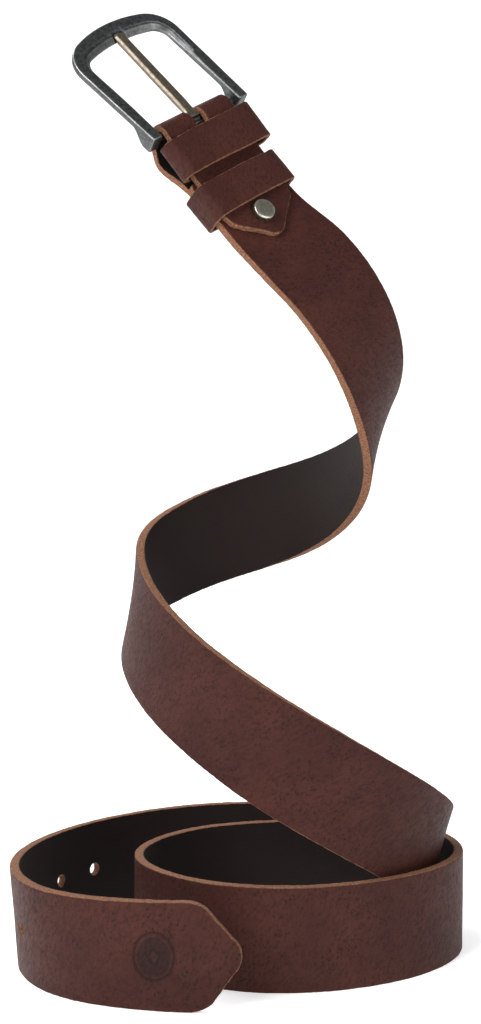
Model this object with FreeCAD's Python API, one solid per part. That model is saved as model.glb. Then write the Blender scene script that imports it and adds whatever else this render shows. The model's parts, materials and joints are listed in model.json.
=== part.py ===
import FreeCAD, Part
import math
import os
from bisect import bisect_left
from collections import namedtuple

from FreeCAD import Vector

# A leather belt standing in a loose spiral: two turns of the strap stand on edge on the floor and
# the rest climbs up to the buckle. Millimetres and degrees, +Z up, the floor at z = 0.
# "Out" is the grain (smooth) side of the leather, "across" runs from its lower edge to its upper
# edge, and "along" runs from the tip towards the buckle.

# ---- strap ----
STRAP_WIDTH = 40.0
STRAP_THICK = 3.7
HOLE_COUNT = 5
HOLE_PITCH = 20.8
HOLE_RADIUS = 2.5
FIRST_HOLE = 93.0            # from the tip
STRAP_END = 22.5             # from the bar to the strap's square end, inside the buckle tab
FLOOR_WEAR = 0.06            # the edge that the belt stands on is pressed flat by this much
TIP_CORNER_RADIUS = 14.0     # where the tip's flank meets the strap's edge
TIP_NOSE_RADIUS = 8.0
TIP_FLANK_ANGLE = 52.0       # between the tip's flank and the strap's centre line

# ---- the path of the strap's centre line ----
# Each place is a quarter turn on from the last: left, back, right, front, and round again.
TIP_HEADING = 171.0
OUTER_TURN = (               # x, y, lean: on the floor, leaning outwards a little
    (1.5, -79.8, 3.0),
    (-73.0, -58.0, -5.0),
    (-85.5, -34.0, -4.5),
    (15.0, 62.5, -1.0),
    (88.0, -12.0, 0.0),
)
INNER_TURN = (               # x, y: on the floor and upright
    (-4.5, -55.5),
    (-40.0, -15.5),
    (-4.0, 28.0),
)
CLIMB = (                    # x, y, z, lean: off the floor, up to the buckle end
    (77.5, -2.0, 32.5, -14.0),
    (19.0, -57.0, 85.5, 2.0),
    (-36.0, 37.0, 148.5, 9.0),
    (-10.0, 51.0, 161.0, 4.5),
    (45.0, 30.5, 185.5, -26.0),
    (56.0, 13.5, 204.0, -25.5),
    (29.0, -20.5, 272.5, 28.5),
)
RUN_LENGTH = 44.0            # the last stretch before the bar is straight
RUN_END = Vector(-20.1, -10.8, 328.0)
RUN_HEADING = 167.3
RUN_CLIMB = 50.4
RUN_LEAN = 46.5

# ---- buckle tab: a short strap folded round the bar, with the belt strap riveted in it ----
TAB_WIDTH = 36.0
TAB_THICK = 2.8
LAYER_GAP = 0.05
TAB_NOSE = 57.0              # from the bar to the point of the front flap
TAB_TAIL = 54.0              # from the bar to the square end of the back flap
TAB_OFFSET = 1.2             # across, at the bar
TAB_SKEW = 0.05              # the front flap lies a little askew
BACK_OFFSETS = (             # (from, to, by how much) the back flap shifts across, from the bar on
    (0.0, 8.0, -1.7),
    (20.0, 38.0, 1.3),
)
FLAP_START = 24.0            # the flaps lie flat on the strap from here on
FRONT_FLAP = (               # (along, out) of the tab's middle line in front of the fold
    (-12.0, 4.4),
    (-5.0, 5.35),
)
BACK_FLAP = (                # and behind it, where it sags
    (1.8, -2.8),
    (-2.5, -6.7),
    (-9.0, -7.7),
    (-17.0, -5.1),
)
BACK_START = 26.0            # the back flap lies flat from here on
NOSE_CORNER_RADIUS = 14.0
NOSE_RADIUS = 6.0
NOSE_FLANK_ANGLE = 55.0
FOLD_GAP = 0.3               # the fold is loose on the bar
SLOT_WIDTH = 6.4             # for the prong, cut through the fold
SLOT_REACH = 7.0             # how far the slot runs back from the bar

# ---- buckle ----
BAR_ALONG = -0.3             # the bar's place beside the end of the run
BAR_OUT = 2.5
BAR_RADIUS = 1.6
BAR_INSET = 1.0              # the bar's ends stop short of the ears' outer faces
BUCKLE_SHIFT = 1.2           # across
BUCKLE_TILT = -7.5           # of the frame, about the bar
FRAME_TOP = 4.8              # front face above the bar's axis
LEG_DEPTH = 2.8
EAR_DEPTH = 7.4
EAR_END = 2.75               # from the bar's axis to the end of the legs
EAR_SLOPE = 7.5              # where the ears have faded into the legs
EAR_FOOT = 1.2               # how far the ears' underside reaches beyond the bar
EAR_BEVEL = 0.8
EAR_ROUND = 0.8              # the ears' top corners
OUTER_ENDS = 26.4            # half widths at the ears and at the shoulders
OUTER_SHOULDERS = 27.4
OUTER_APEX = 53.0            # from the bar's axis
OUTER_BOW = 60.0             # radius of the arc
OUTER_CORNER = 13.5
INNER_ENDS = 21.6
INNER_SHOULDERS = 21.4
INNER_APEX = 45.0
INNER_BOW = 80.0
INNER_CORNER = 5.5
FRAME_SHIFT = 0.8            # across, of the frame and its bar from the prong
FRAME_SKEW = 2.8             # degrees that the shoulders and the arc are bent downwards
NOTCH_START = 44.0           # the prong's tip lies in a notch in the arc
NOTCH_HALF_WIDTH = 2.8
NOTCH_BOTTOM = 2.6           # above the bar's axis
NOTCH_GAP = 0.6
PRONG_WIDTH = 5.2
PRONG_THICK = 2.3
PRONG_TIP = 47.2
PRONG_TIP_TOP = 5.2          # above the bar's axis
PRONG_BEVEL = 1.0            # at the tip
CURL_GAP = 0.05              # running clearance round the bar
CURL_THICK = 1.5

# ---- keepers ----
KEEPER_THICK = 2.0
KEEPER_CORNER = 3.5
FRONT_KEEPER = (12.7, 2.0)   # distance from the bar, and shift across
REAR_KEEPER = (33.6, 0.0)
FRONT_KEEPER_TILT = 4.0
FRONT_KEEPER_SIZE = (16.0, 21.7, 1.9, 6.7)     # length; inside: half width, low, high
REAR_KEEPER_SIZE = (14.6, 20.3, -4.95, 4.95)
BUTT_GAP = 0.2               # between the loop's two ends, at the back
STAPLE_RADIUS = 0.4
STAPLE_SPAN = 7.0
STAPLE_PLACES = (-3.2, 3.2)  # along the belt, from the keeper's middle

# ---- rivet ----
RIVET_AT = 46.7              # from the bar
RIVET_SHIFT = -2.6           # across
CAP_RADIUS = 4.4
CAP_HEIGHT = 2.5
CAP_ROUND = 0.8
POST_RADIUS = 1.6
POST_GAP = 0.05
FOOT_RADIUS = 4.6
FOOT_HEIGHT = 1.1
SEAT_GAP = 0.2               # the strap bends a little under the rivet's heads

SECTION_STEP = 7.0           # between the cross-sections that carry a sheet's shape
FOLD_STEP = 1.2              # the same round the tab's fold
TOOL = 60.0                  # half size of the cutting blocks
UP = Vector(0, 0, 1)

Section = namedtuple("Section", "centre along across out")


# ---------------------------------------------------------------- the path
def make_section(centre, along, lean):
    """The cross-section at a place: 'across' starts as near to upright as it can and leans."""
    upright = UP - along * along.dot(UP)
    upright.normalize()
    side = along.cross(upright)
    angle = math.radians(lean)
    across = upright * math.cos(angle) + side * math.sin(angle)
    return Section(centre, along, across, across.cross(along))


def heading_vector(heading, climb=0.0):
    flat = math.cos(math.radians(climb))
    turn = math.radians(heading)
    return Vector(flat * math.cos(turn), flat * math.sin(turn), math.sin(math.radians(climb)))


def clamped_spline(points, knots, first_slope, last_slope):
    curve = Part.BSplineCurve()
    curve.interpolate(Points=points, Parameters=knots, InitialTangent=first_slope,
                      FinalTangent=last_slope, Scale=False)
    return curve


class BeltPath:
    """Cross-sections of the strap, found by distance from the tip or from the bar."""

    def __init__(self):
        run_along = heading_vector(RUN_HEADING, RUN_CLIMB)
        self.bar_section = make_section(RUN_END, run_along, RUN_LEAN)
        run_start = RUN_END - run_along * RUN_LENGTH
        middle = STRAP_WIDTH / 2
        places = [Vector(x, y, middle) for x, y, lean in OUTER_TURN]
        places += [Vector(x, y, middle) for x, y in INNER_TURN]
        places += [Vector(x, y, z) for x, y, z, lean in CLIMB]
        places.append(run_start)
        self.knots = [0.0]
        for place, following in zip(places, places[1:]):
            self.knots.append(self.knots[-1] + place.distanceToPoint(following))
        flat_places = [Vector(place.x, place.y, 0) for place in places]
        self.plan = clamped_spline(flat_places, self.knots, heading_vector(TIP_HEADING),
                                   Vector(run_along.x, run_along.y, 0))
        self.fit_leans()
        self.fit_climb(run_along)
        self.measure()

    def fit_leans(self):
        """Lean against path parameter over the outer turn."""
        leans = [lean for x, y, lean in OUTER_TURN]
        self.upright_from = self.knots[len(leans) - 1]
        graph = [Vector(knot, lean, 0) for knot, lean in zip(self.knots, leans)]
        self.outer_lean = clamped_spline(graph, self.knots[:len(leans)], Vector(1, 0, 0),
                                         Vector(1, 0, 0))

    def fit_climb(self, run_along):
        """Height and lean against path parameter, from the place where the strap lifts off."""
        first = len(OUTER_TURN) + len(INNER_TURN) - 1
        knots = self.knots[first:]
        graph = [Vector(knots[0], STRAP_WIDTH / 2, 0)]
        graph += [Vector(knot, z, lean) for knot, (x, y, z, lean) in zip(knots[1:], CLIMB)]
        run_start = RUN_END - run_along * RUN_LENGTH
        graph.append(Vector(knots[-1], run_start.z, RUN_LEAN))
        self.lift_off = knots[0]
        self.climb = clamped_spline(graph, knots, Vector(1, 0, 0), Vector(1, run_along.z, 0))

    def section_at(self, knot):
        """The cross-section at a path parameter."""
        beyond = knot - self.knots[-1]
        if beyond >= 0:
            bar = self.bar_section
            return bar._replace(centre=bar.centre + bar.along * (beyond - RUN_LENGTH))
        place, slope = self.plan.getD1(knot)
        if knot > self.lift_off:
            graph, graph_slope = self.climb.getD1(knot)
            height, rise, lean = graph.y, graph_slope.y, graph.z
        else:
            lean = self.outer_lean.value(knot).y if knot < self.upright_from else 0.0
            angle = math.radians(lean)
            height = STRAP_WIDTH / 2 * math.cos(angle) + STRAP_THICK / 2 * abs(math.sin(angle))
            rise = 0.0
        along = Vector(slope.x, slope.y, rise)
        along.normalize()
        return make_section(Vector(place.x, place.y, height), along, lean)

    def measure(self):
        """Tabulate the distance from the tip against the path parameter."""
        last = self.knots[-1] + RUN_LENGTH
        count = int(last)
        self.marks = [last * i / count for i in range(count + 1)]
        self.distances = [0.0]
        previous = self.section_at(0.0).centre
        for mark in self.marks[1:]:
            centre = self.section_at(mark).centre
            self.distances.append(self.distances[-1] + centre.distanceToPoint(previous))
            previous = centre
        self.length = self.distances[-1]

    def from_tip(self, distance):
        i = min(max(bisect_left(self.distances, distance), 1), len(self.marks) - 1)
        low, high = self.distances[i - 1], self.distances[i]
        share = (distance - low) / (high - low)
        return self.section_at(self.marks[i - 1] + share * (self.marks[i] - self.marks[i - 1]))

    def from_bar(self, distance):
        """A section this far back from the bar; a negative distance lies beyond the bar."""
        if distance <= RUN_LENGTH:
            bar = self.bar_section
            return bar._replace(centre=bar.centre - bar.along * distance)
        return self.from_tip(self.length - distance)


# ---------------------------------------------------------------- sheets of leather
def shifted(section, along=0.0, across=0.0, out=0.0):
    centre = (section.centre + section.along * along + section.across * across
              + section.out * out)
    return section._replace(centre=centre)


def spread(first, last, step):
    """Even values from first to last, no further apart than step."""
    count = max(2, math.ceil(abs(last - first) / step))
    return [first + (last - first) * i / count for i in range(count + 1)]


def ruled_face(rail, other):
    """Straight lines between two rails that share their knots."""
    surface = Part.BSplineSurface()
    surface.buildFromPolesMultsKnots([rail.getPoles(), other.getPoles()],
                                     [2, 2], rail.getMultiplicities(),
                                     [0, 1], rail.getKnots(), False, False, 1, rail.Degree)
    return surface.toShape()


def sheet(sections, width, thick):
    """A solid of constant width and thickness that follows the sections."""
    knots = [0.0]
    for section, following in zip(sections, sections[1:]):
        knots.append(knots[-1] + section.centre.distanceToPoint(following.centre))
    corners = ((1, 1), (1, -1), (-1, -1), (-1, 1))
    rails = []
    for across_side, out_side in corners:
        rail = [shifted(s, across=across_side * width / 2, out=out_side * thick / 2).centre
                for s in sections]
        curve = Part.BSplineCurve()
        curve.interpolate(Points=rail, Parameters=knots)
        rails.append(curve)
    faces = [ruled_face(rails[i], rails[(i + 1) % len(rails)]) for i in range(len(rails))]
    for knot in (knots[0], knots[-1]):
        ring = [curve.value(knot) for curve in rails]
        faces.append(Part.Face(Part.makePolygon(ring + ring[:1])))
    shell = Part.makeShell(faces)
    shell.sewShape()
    solid = Part.makeSolid(shell)
    if solid.Volume < 0:
        solid.reverse()
    return solid


def placed(shape, section):
    """Move a shape to a section: x goes along it, y down across it and z out of it."""
    down = section.across * -1
    matrix = FreeCAD.Matrix(
        section.along.x, down.x, section.out.x, section.centre.x,
        section.along.y, down.y, section.out.y, section.centre.y,
        section.along.z, down.z, section.out.z, section.centre.z,
        0, 0, 0, 1)
    moved = shape.copy()
    moved.Placement = FreeCAD.Placement(matrix)
    return moved


def mirrored_across(shape):
    return shape.mirror(Vector(0, 0, 0), Vector(0, 1, 0))


def box(along, across, out):
    """A block from three (low, high) ranges in local axes."""
    size = [high - low for low, high in (along, across, out)]
    return Part.makeBox(*size, Vector(along[0], across[0], out[0]))


def point_trimmer(half_width, corner, nose, flank_angle):
    """The waste on one side of a rounded point whose apex is at x = 0, body towards +x."""
    angle = math.radians(flank_angle)
    sine, cosine = math.sin(angle), math.cos(angle)
    flank_low = Vector(nose - nose * sine, nose * cosine, 0)
    flank_high_y = half_width - corner + corner * cosine
    flank_high_x = flank_low.x + (flank_high_y - flank_low.y) * cosine / sine
    flank_high = Vector(flank_high_x, flank_high_y, 0)
    corner_x = flank_high_x + corner * sine
    half = angle / 2
    corner_mid = Vector(corner_x - corner * math.sin(half),
                        half_width - corner + corner * math.cos(half), 0)
    corner_end = Vector(corner_x, half_width, 0)
    nose_turn = (math.pi / 2 + angle) / 2
    nose_mid = Vector(nose - nose * math.sin(nose_turn), nose * math.cos(nose_turn), 0)
    margin = half_width
    edges = [
        Part.Arc(Vector(0, 0, 0), nose_mid, flank_low).toShape(),
        Part.makeLine(flank_low, flank_high),
        Part.Arc(flank_high, corner_mid, corner_end).toShape(),
        Part.makePolygon([corner_end, Vector(corner_x, 2 * half_width, 0),
                          Vector(-margin, 2 * half_width, 0), Vector(-margin, 0, 0),
                          Vector(0, 0, 0)]),
    ]
    outline = Part.Wire([edge for item in edges for edge in item.Edges])
    waste = Part.Face(outline).extrude(Vector(0, 0, 4 * STRAP_THICK))
    waste.translate(Vector(0, 0, -2 * STRAP_THICK))
    return waste.fuse(mirrored_across(waste))


def point_depth(half_width, corner, nose, flank_angle):
    """How far back from the apex the point reaches full width."""
    angle = math.radians(flank_angle)
    rise = half_width - corner + (corner - nose) * math.cos(angle)
    return nose + (corner - nose) * math.sin(angle) + rise / math.tan(angle)


# ---------------------------------------------------------------- strap
def make_strap(path):
    distances = spread(0.0, path.length - STRAP_END, SECTION_STEP)
    strap = sheet([path.from_tip(d) for d in distances], STRAP_WIDTH, STRAP_THICK)
    tip = (STRAP_WIDTH / 2, TIP_CORNER_RADIUS, TIP_NOSE_RADIUS, TIP_FLANK_ANGLE)
    halfway = point_depth(*tip) / 2
    trimmer = point_trimmer(*tip)
    trimmer.translate(Vector(-halfway, 0, 0))
    strap = strap.cut(placed(trimmer, path.from_tip(halfway)))
    punch = cross_hole(HOLE_RADIUS)
    cuts = [placed(punch, path.from_tip(FIRST_HOLE + i * HOLE_PITCH)) for i in range(HOLE_COUNT)]
    cuts.append(rivet_hole(path))
    reach = 3 * STRAP_WIDTH
    cuts.append(box((-reach, reach), (-reach, reach), (-TOOL, FLOOR_WEAR)))
    return strap.cut(cuts)


def cross_hole(radius):
    return Part.makeCylinder(radius, TOOL / 2, Vector(0, 0, -TOOL / 4))


def rivet_section(path):
    return shifted(path.from_bar(RIVET_AT), across=RIVET_SHIFT)


def rivet_hole(path):
    return placed(cross_hole(POST_RADIUS + POST_GAP), rivet_section(path))


# ---------------------------------------------------------------- buckle tab
def tab_offset(along):
    """How far the front flap lies to one side."""
    return TAB_OFFSET + TAB_SKEW * min(along, 0.0)


def back_offset(along):
    """The same for the back flap, which wanders a little."""
    offset = TAB_OFFSET
    for start, end, change in BACK_OFFSETS:
        share = min(max((-along - start) / (end - start), 0.0), 1.0)
        offset += change * share * share * (3 - 2 * share)
    return offset


def tab_middle():
    """Half way through the tab's thickness where it lies flat on the strap."""
    return (STRAP_THICK + TAB_THICK) / 2 + LAYER_GAP


def fold_line():
    """The tab's fold from flap to flap, in the plane of 'along' and 'out'."""
    level = tab_middle()
    reach = BAR_RADIUS + FOLD_GAP + TAB_THICK / 2
    diagonal = reach * math.sqrt(0.5)
    places = [(-FLAP_START, level), *FRONT_FLAP]
    places += [
        (BAR_ALONG, BAR_OUT + reach),
        (BAR_ALONG + diagonal, BAR_OUT + diagonal),
        (BAR_ALONG + reach, BAR_OUT),
    ]
    places += [*BACK_FLAP, (-BACK_START, -level)]
    points = [Vector(along, out, 0) for along, out in places]
    knots = [0.0]
    for point, following in zip(points, points[1:]):
        knots.append(knots[-1] + point.distanceToPoint(following))
    return clamped_spline(points, knots, Vector(1, 0, 0), Vector(-1, 0, 0)), knots[-1]


def tab_section(path, along, out, direction):
    """The tab's cross-section where its middle line passes (along, out) in this direction."""
    base = path.from_bar(-along)
    offset = tab_offset(along) if out > BAR_OUT else back_offset(along)
    middle = shifted(base, across=offset, out=out)
    return Section(middle.centre,
                   base.along * direction.x + base.out * direction.y,
                   base.across,
                   base.out * direction.x - base.along * direction.y)


def make_tab(path):
    level = tab_middle()
    forward, backward = Vector(1, 0, 0), Vector(-1, 0, 0)
    fold, fold_length = fold_line()
    flap_step = SECTION_STEP / 2
    sections = [tab_section(path, along, level, forward)
                for along in spread(-TAB_NOSE, -FLAP_START, flap_step)[:-1]]
    for knot in spread(0.0, fold_length, FOLD_STEP):
        point, slope = fold.getD1(knot)
        slope.normalize()
        sections.append(tab_section(path, point.x, point.y, slope))
    sections += [tab_section(path, along, -level, backward)
                 for along in spread(-BACK_START, -TAB_TAIL, flap_step)[1:]]
    tab = sheet(sections, TAB_WIDTH, TAB_THICK)
    nose = (TAB_WIDTH / 2, NOSE_CORNER_RADIUS, NOSE_RADIUS, NOSE_FLANK_ANGLE)
    halfway = point_depth(*nose) / 2
    trimmer = point_trimmer(*nose).cut(box((-TOOL, TOOL), (-TOOL, TOOL), (-TOOL, -TAB_THICK)))
    trimmer.translate(Vector(-halfway, 0, 0))
    tab = tab.cut(placed(trimmer, shifted(path.from_bar(TAB_NOSE - halfway),
                                          across=tab_offset(-TAB_NOSE), out=level)))
    slot = box((-SLOT_REACH, TOOL / 2), (-SLOT_WIDTH / 2, SLOT_WIDTH / 2), (-TOOL / 4, TOOL / 4))
    tab = tab.cut(placed(slot, shifted(path.bar_section, across=BUCKLE_SHIFT)))
    return tab.cut(rivet_hole(path))


# ---------------------------------------------------------------- buckle
def bar_frame(path):
    """The buckle's own axes: x towards the arc, y along the bar, z out of its front."""
    bar = shifted(path.bar_section, along=BAR_ALONG, across=BUCKLE_SHIFT, out=BAR_OUT)
    tilt = math.radians(BUCKLE_TILT)
    along = bar.along * math.cos(tilt) + bar.out * math.sin(tilt)
    out = bar.out * math.cos(tilt) - bar.along * math.sin(tilt)
    return Section(bar.centre, along, bar.across, out)


def horseshoe(half_ends, half_shoulders, apex, bow, corner):
    """A D-shaped face: legs that spread a little, round shoulders and a bowed arc, bent askew."""
    bow_centre = apex - bow
    shoulder = bow_centre + math.sqrt((bow - corner) ** 2 - (half_shoulders - corner) ** 2)
    turn = math.atan2(half_shoulders - corner, shoulder - bow_centre)

    skew = math.radians(FRAME_SKEW)

    def on_corner(angle, side):
        """A place on the rounded shoulder of one side, after the bend."""
        x = shoulder + corner * math.cos(angle)
        y = side * (half_shoulders - corner + corner * math.sin(angle))
        return Vector(x * math.cos(skew) - y * math.sin(skew),
                      x * math.sin(skew) + y * math.cos(skew), 0)

    halfway = (math.pi / 2 + turn) / 2
    start, end = Vector(-EAR_END, half_ends, 0), Vector(-EAR_END, -half_ends, 0)
    left, left_middle, left_end = [on_corner(a, 1) for a in (math.pi / 2, halfway, turn)]
    right, right_middle, right_end = [on_corner(a, -1) for a in (math.pi / 2, halfway, turn)]
    crown = Vector(apex * math.cos(skew), apex * math.sin(skew), 0)
    edges = [
        Part.makeLine(start, left),
        Part.Arc(left, left_middle, left_end).toShape(),
        Part.Arc(left_end, crown, right_end).toShape(),
        Part.Arc(right_end, right_middle, right).toShape(),
        Part.makeLine(right, end),
        Part.makeLine(end, start),
    ]
    return Part.Face(Part.Wire(edges))


def ear_profile():
    """The side view of an ear: deep at the bar and fading into the leg."""
    floor = FRAME_TOP - LEG_DEPTH
    bottom = FRAME_TOP - EAR_DEPTH
    bend = EAR_ROUND * (1 - math.sqrt(0.5))
    top_low = Vector(-EAR_END, 0, FRAME_TOP - EAR_ROUND)
    top_high = Vector(-EAR_END + EAR_ROUND, 0, FRAME_TOP)
    edges = [
        Part.makePolygon([
            top_high, Vector(EAR_SLOPE, 0, FRAME_TOP), Vector(EAR_SLOPE, 0, floor),
            Vector(EAR_FOOT + EAR_BEVEL, 0, bottom + EAR_BEVEL), Vector(EAR_FOOT, 0, bottom),
            Vector(-EAR_END + EAR_BEVEL, 0, bottom), Vector(-EAR_END, 0, bottom + EAR_BEVEL),
            top_low]),
        Part.Arc(top_low, Vector(-EAR_END + bend, 0, FRAME_TOP - bend), top_high).toShape(),
    ]
    return Part.Wire([edge for item in edges for edge in item.Edges])


def make_frame(path):
    outer = horseshoe(OUTER_ENDS, OUTER_SHOULDERS, OUTER_APEX, OUTER_BOW, OUTER_CORNER)
    inner = horseshoe(INNER_ENDS, INNER_SHOULDERS, INNER_APEX, INNER_BOW, INNER_CORNER)
    ring = outer.cut(inner).extrude(Vector(0, 0, EAR_DEPTH))
    ring.translate(Vector(0, 0, FRAME_TOP - EAR_DEPTH))
    ears = Part.Face(ear_profile()).extrude(Vector(0, 2 * TOOL, 0))
    ears.translate(Vector(0, -TOOL, 0))
    plate = box((EAR_SLOPE, TOOL), (-TOOL, TOOL), (FRAME_TOP - LEG_DEPTH, FRAME_TOP))
    frame = ring.common(ears.fuse(plate).removeSplitter())
    notch = box((NOTCH_START, PRONG_TIP + NOTCH_GAP),
                (FRAME_SHIFT - NOTCH_HALF_WIDTH, FRAME_SHIFT + NOTCH_HALF_WIDTH),
                (NOTCH_BOTTOM, 2 * FRAME_TOP))
    bar_hole = Part.makeCylinder(BAR_RADIUS, 2 * TOOL, Vector(0, -TOOL, 0), Vector(0, 1, 0))
    frame = frame.cut([notch, bar_hole])
    return placed(frame, shifted(bar_frame(path), across=FRAME_SHIFT))


def make_bar(path):
    length = 2 * (OUTER_ENDS - BAR_INSET)
    bar = Part.makeCylinder(BAR_RADIUS, length, Vector(0, -length / 2, 0), Vector(0, 1, 0))
    return placed(bar, shifted(bar_frame(path), across=FRAME_SHIFT))


def make_prong(path):
    """A flat tongue whose root is curled round the bar."""
    inner = BAR_RADIUS + CURL_GAP
    outer = inner + CURL_THICK
    half = PRONG_WIDTH / 2
    curl = Part.makeCylinder(outer, PRONG_WIDTH, Vector(0, -half, 0), Vector(0, 1, 0))
    tip_bottom = PRONG_TIP_TOP - PRONG_THICK
    side = Part.makePolygon([
        Vector(0, -half, outer - PRONG_THICK), Vector(0, -half, outer),
        Vector(PRONG_TIP - PRONG_BEVEL, -half, PRONG_TIP_TOP),
        Vector(PRONG_TIP, -half, PRONG_TIP_TOP - PRONG_BEVEL),
        Vector(PRONG_TIP, -half, tip_bottom), Vector(0, -half, outer - PRONG_THICK)])
    blade = Part.Face(side).extrude(Vector(0, PRONG_WIDTH, 0))
    prong = curl.fuse(blade)
    bore = Part.makeCylinder(inner, PRONG_WIDTH + 2, Vector(0, -half - 1, 0), Vector(0, 1, 0))
    return placed(prong.cut(bore).removeSplitter(), bar_frame(path))


# ---------------------------------------------------------------- keepers
def rounded_block(half_width, low, high, corner, length):
    block = box((-length / 2, length / 2), (-half_width, half_width), (low, high))
    lengthwise = [edge for edge in block.Edges
                  if abs(edge.tangentAt(edge.FirstParameter).x) > 0.99]
    return block.makeFillet(corner, lengthwise)


def make_keeper(section, length, half_width, low, high):
    """A leather loop round the layers, its ends butted at the back and pierced for a staple."""
    inside = rounded_block(half_width, low, high, KEEPER_CORNER - KEEPER_THICK, 2 * length)
    outside = rounded_block(half_width + KEEPER_THICK, low - KEEPER_THICK, high + KEEPER_THICK,
                            KEEPER_CORNER, length)
    butt = box((-TOOL, TOOL), (-BUTT_GAP / 2, BUTT_GAP / 2),
               (low - 2 * KEEPER_THICK, low + KEEPER_THICK))
    loop = outside.cut(inside).cut(butt)
    for leg in staple_legs(low, STAPLE_RADIUS + LAYER_GAP):
        loop = loop.cut(leg)
    return placed(loop, section)


def staple_legs(low, radius):
    places = [(along, side * STAPLE_SPAN / 2) for along in STAPLE_PLACES for side in (1, -1)]
    return [Part.makeCylinder(radius, KEEPER_THICK + STAPLE_RADIUS,
                              Vector(along, across, low - KEEPER_THICK - STAPLE_RADIUS))
            for along, across in places]


def make_staples(section, low):
    """Two wire staples that hold the keeper's ends together."""
    crown_level = low - KEEPER_THICK - STAPLE_RADIUS - LAYER_GAP
    staples = []
    for along in STAPLE_PLACES:
        crown = Part.makeCylinder(STAPLE_RADIUS, STAPLE_SPAN,
                                  Vector(along, -STAPLE_SPAN / 2, crown_level), Vector(0, 1, 0))
        wire = crown
        for side in (1, -1):
            corner = Vector(along, side * STAPLE_SPAN / 2, crown_level)
            leg = Part.makeCylinder(STAPLE_RADIUS, low - crown_level, corner)
            wire = wire.fuse([leg, Part.makeSphere(STAPLE_RADIUS, corner)])
        staples.append(wire.removeSplitter())
    return placed(Part.makeCompound(staples), section)


def front_keeper_place(path):
    """The front keeper rides on the front flap only, between the bar and the strap's end."""
    distance, shift = FRONT_KEEPER
    base = shifted(path.from_bar(distance), across=shift)
    tilt = math.radians(FRONT_KEEPER_TILT)
    along = base.along * math.cos(tilt) + base.out * math.sin(tilt)
    out = base.out * math.cos(tilt) - base.along * math.sin(tilt)
    return Section(base.centre, along, base.across, out)


# ---------------------------------------------------------------- rivet
def make_rivet_cap(path):
    base = tab_middle() + TAB_THICK / 2 + SEAT_GAP
    cap = Part.makeCylinder(CAP_RADIUS, CAP_HEIGHT, Vector(0, 0, base))
    rim = [edge for edge in cap.Edges if edge.BoundBox.ZMin > base + CAP_HEIGHT - 0.01]
    cap = cap.makeFillet(CAP_ROUND, rim)
    socket = Part.makeCylinder(POST_RADIUS + POST_GAP, CAP_HEIGHT / 2 + POST_GAP, Vector(0, 0, base))
    return placed(cap.cut(socket), rivet_section(path))


def make_rivet_post(path):
    base = tab_middle() + TAB_THICK / 2 + SEAT_GAP
    shank = Part.makeCylinder(POST_RADIUS, 2 * base + CAP_HEIGHT / 2, Vector(0, 0, -base))
    foot = Part.makeCylinder(FOOT_RADIUS, FOOT_HEIGHT, Vector(0, 0, -base - FOOT_HEIGHT))
    return placed(shank.fuse(foot).removeSplitter(), rivet_section(path))


# ---------------------------------------------------------------- the belt
def make_belt():
    path = BeltPath()
    front_keeper = front_keeper_place(path)
    rear_keeper = shifted(path.from_bar(REAR_KEEPER[0]), across=REAR_KEEPER[1])
    nodes = {
        "strap": make_strap(path),
        "buckle_tab": make_tab(path),
        "buckle_frame": make_frame(path),
        "buckle_bar": make_bar(path),
        "buckle_prong": make_prong(path),
        "front_keeper": make_keeper(front_keeper, *FRONT_KEEPER_SIZE),
        "front_keeper_staples": make_staples(front_keeper, FRONT_KEEPER_SIZE[2]),
        "rear_keeper": make_keeper(rear_keeper, *REAR_KEEPER_SIZE),
        "rear_keeper_staples": make_staples(rear_keeper, REAR_KEEPER_SIZE[2]),
        "rivet_cap": make_rivet_cap(path),
        "rivet_post": make_rivet_post(path),
    }
    return path, nodes


path, nodes = make_belt()
box_of_all = Part.makeCompound(list(nodes.values())).BoundBox
to_origin = Vector(-box_of_all.Center.x, -box_of_all.Center.y, -FLOOR_WEAR)
os.makedirs("parts", exist_ok=True)
for name, shape in nodes.items():
    shape.translate(to_origin)
    shape.exportStep("parts/" + name + ".step")
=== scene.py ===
import json
import math

import bmesh
import bpy
import numpy as np
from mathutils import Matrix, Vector
from mathutils.geometry import delaunay_2d_cdt
from mathutils.kdtree import KDTree


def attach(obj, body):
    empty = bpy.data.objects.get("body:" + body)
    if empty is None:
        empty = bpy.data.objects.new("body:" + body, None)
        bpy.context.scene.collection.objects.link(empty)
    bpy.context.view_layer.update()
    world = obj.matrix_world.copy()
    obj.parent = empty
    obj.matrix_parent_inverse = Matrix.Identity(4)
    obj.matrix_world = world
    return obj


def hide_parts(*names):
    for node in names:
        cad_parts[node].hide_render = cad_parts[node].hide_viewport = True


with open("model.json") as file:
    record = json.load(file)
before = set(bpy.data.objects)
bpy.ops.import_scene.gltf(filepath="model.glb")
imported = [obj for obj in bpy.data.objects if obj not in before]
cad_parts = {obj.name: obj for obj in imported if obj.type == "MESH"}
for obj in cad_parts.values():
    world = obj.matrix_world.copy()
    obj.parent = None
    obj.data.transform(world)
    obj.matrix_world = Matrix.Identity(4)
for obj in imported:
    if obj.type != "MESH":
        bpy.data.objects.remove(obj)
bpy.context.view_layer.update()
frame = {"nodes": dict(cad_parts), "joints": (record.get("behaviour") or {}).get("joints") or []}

# The looks of a leather belt that stands in a loose spiral. Lengths are in millimetres until a mesh
# is made. Every sheet of leather is drawn flat, in its own (s, w) plane, and then bent into place.
# At the buckle end "along" runs towards the buckle, "across" along the bar and "out" to the front.

MM = 0.001

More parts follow.
